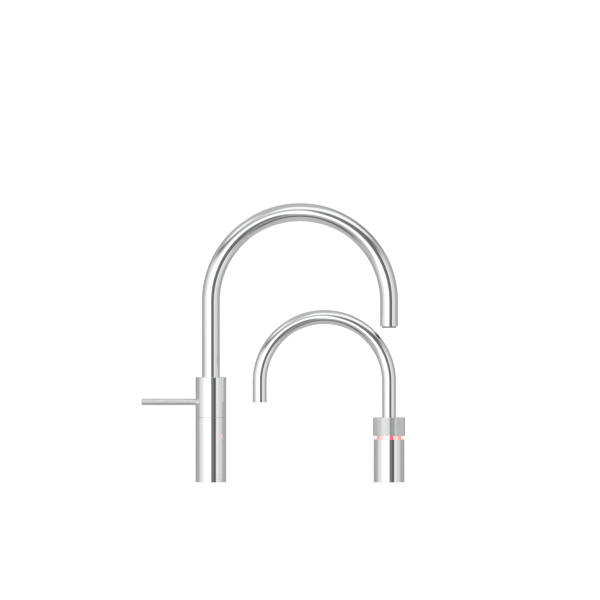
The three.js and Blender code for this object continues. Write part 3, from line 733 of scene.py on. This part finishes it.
# ------------------------------------------------------------------ CAD nodes that stay, each with its material
for n in ("boiling_guide_column", "boiling_spout_stub", "mixer_valve_body", "mixer_cartridge_nut", "mixer_lever_hub", "mixer_spout_stub"):
    use(n, BRASS)
for n in ("boiling_spring_seat", "boiling_knob_clip", "boiling_spout_screw",
          "mixer_pivot_pin", "mixer_spindle", "mixer_lever_screw", "mixer_spout_snap_ring"):
    use(n, STEEL)
for n in ("boiling_pipe_bush", "boiling_push_carrier", "mixer_slip_ring", "mixer_cartridge_base", "mixer_disc_driver", "mixer_cartridge_turret", "mixer_slot_shutter"):
    use(n, DARK_POM)
for n in ("boiling_spout_seal_lower", "boiling_spout_seal_upper", "boiling_pipe_seal", "mixer_spout_seal_lower", "mixer_spout_seal_upper", "mixer_aerator_seal"):
    use(n, RUBBER)
for n in ("mixer_cartridge_housing", "mixer_handle_bearing"):
    use(n, POM)
for n in ("boiling_water_tube", "boiling_outlet_core"):
    use(n, PTFE)
for n in ("mixer_fixed_disc", "mixer_moving_disc"):
    use(n, CERAMIC)
use("boiling_led_board", BOARD)
use("boiling_knob_magnet_ring", FERRITE)

# the worktop hides what is below it, so the chrome above doesn't mirror it
hidden = [who + n for who in ("boiling", "mixer") for n in ("_rubber_washer_fine", "_steel_washer_fine", "_backnut_fine", "_shank_threaded")]
for n in hidden + ["boiling_inlet_pipe_fine", "mixer_hot_inlet_tail_fine", "mixer_cold_inlet_tail_fine"]:
    bpy.data.objects[n].visible_glossy = False


# ------------------------------------------------------------------ studio: a grey room with soft boxes, white behind
def studio():
    """Angles are in degrees. Azimuth 0 is straight in front of the set, and grows to the right."""
    world = bpy.data.worlds.new("studio")
    bpy.context.scene.world = world
    world.use_nodes = True
    nt = world.node_tree
    nt.nodes.clear()
    L = nt.links

    def node(kind, **props):
        n = nt.nodes.new(kind)
        for k, v in props.items():
            setattr(n, k, v)
        return n

    def math_node(op, a, b=None):
        n = node("ShaderNodeMath", operation=op)
        for i, v in enumerate((a, b)):
            if v is None:
                continue
            if isinstance(v, (int, float)):
                n.inputs[i].default_value = v
            else:
                L.new(v, n.inputs[i])
        return n.outputs[0]

    def smooth(v, a, b):
        n = node("ShaderNodeMapRange", interpolation_type="SMOOTHSTEP")
        n.inputs["From Min"].default_value = a
        n.inputs["From Max"].default_value = b
        L.new(v, n.inputs["Value"])
        return n.outputs[0]

    tc = node("ShaderNodeTexCoord")
    sep = node("ShaderNodeSeparateXYZ")
    L.new(tc.outputs["Generated"], sep.inputs[0])
    x, y, z = sep.outputs
    deg = 180 / math.pi
    az = math_node("MULTIPLY", math_node("ARCTAN2", x, math_node("MULTIPLY", y, -1)), deg)
    el = math_node("MULTIPLY", math_node("ARCSINE", z), deg)

    def mix(a, b, f):
        n = node("ShaderNodeMix", data_type="FLOAT")
        for i, v in ((2, a), (3, b)):
            if isinstance(v, (int, float)):
                n.inputs[i].default_value = v
            else:
                L.new(v, n.inputs[i])
        L.new(f, n.inputs[0])
        return n.outputs[0]

    def panel(v, level, a0, a1, e0, e1, left=8, right=8, ends=8):
        """A soft box or flag from azimuth a0 to a1 and elevation e0 to e1, and how soft its edges are."""
        f = math_node("MULTIPLY", smooth(az, a0 - left, a0 + left), math_node("SUBTRACT", 1.0, smooth(az, a1 - right, a1 + right)))
        g = math_node("MULTIPLY", smooth(el, e0 - ends, e0 + ends), math_node("SUBTRACT", 1.0, smooth(el, e1 - ends, e1 + ends)))
        return mix(v, level, math_node("MULTIPLY", f, g))

    # the grey room: darker at the back, with a pale wall on each side
    value = 0.50
    value = panel(value, 0.42, -180, -100, -35, 30, 20, 20)
    value = panel(value, 0.42, 100, 180, -35, 30, 12, 12)
    value = panel(value, 0.80, -90, -50, -24, 30, 15, 15)
    value = panel(value, 0.72, 60, 86, -34, 30, 6, 6)
    # soft boxes: a big one front left, a tall one on the right, one overhead, one high on the left
    value = panel(value, 1.30, -55, 2, -20, 18, 16, 2, 6)
    value = panel(value, 0.86, 38, 60, -28, 24, 3, 3)
    value = panel(value, 1.05, -25, 80, 40, 72, 15, 15)
    value = panel(value, 1.10, -80, -45, 36, 58, 12, 12)
    # flags: a tall dark one right of the camera, a black one on it, and black above and below the boxes
    value = panel(value, 0.20, 3, 38, -32, 32, 3, 3)
    value = panel(value, 0.11, 22, 37, -32, 32, 4, 2)
    value = panel(value, 0.15, -90, -30, 27, 35, 12, 12, 5)
    value = panel(value, 0.15, 12, 62, 26, 36, 8, 8, 5)
    value = panel(value, 0.24, 105, 165, 30, 52, 15, 15)
    value = panel(value, 0.12, -70, 55, -60, -42, 14, 14)
    # behind the set: two narrow strip lights, each beside a flag
    for turn in (1, -1):
        for level, near, far in ((0.10, 143, 150), (1.10, 155, 165)):
            value = panel(value, level, min(turn * near, turn * far), max(turn * near, turn * far), -32, 32, 2, 2)

    lp = node("ShaderNodeLightPath")
    bg = node("ShaderNodeBackground")
    L.new(value, bg.inputs["Color"])
    white = node("ShaderNodeBackground")
    white.inputs["Color"].default_value = (1, 1, 1, 1)
    white.inputs["Strength"].default_value = 1.1
    both = node("ShaderNodeMixShader")
    L.new(lp.outputs["Is Camera Ray"], both.inputs[0])
    L.new(bg.outputs[0], both.inputs[1])
    L.new(white.outputs[0], both.inputs[2])
    out = node("ShaderNodeOutputWorld")
    L.new(both.outputs[0], out.inputs[0])


studio()

# pale floor at the worktop's level
fm = bmesh.new()
s = 9.0
grid = [fm.verts.new((x * s, y * s, 0.0)) for x, y in ((-1, -1), (1, -1), (1, 1), (-1, 1))]
fm.faces.new(grid)
fme = bpy.data.meshes.new("floor")
fm.to_mesh(fme)
fm.free()
floor = bpy.data.objects.new("floor", fme)
bpy.context.scene.collection.objects.link(floor)
m, nt, b = new_material("pale_floor")
b.inputs["Roughness"].default_value = 0.9
b.inputs["Specular IOR Level"].default_value = 0.1
nt.links.new(ramp(nt, noise(nt, coords(nt), 3.0, 3), [(0.3, (0.90, 0.90, 0.90)), (0.7, (0.92, 0.92, 0.92))]), b.inputs["Base Color"])
b.inputs["Emission Color"].default_value = (1, 1, 1, 1)
b.inputs["Emission Strength"].default_value = 0.62
fme.materials.append(m)
floor.visible_glossy = False

bpy.context.scene.view_settings.view_transform = "Standard"
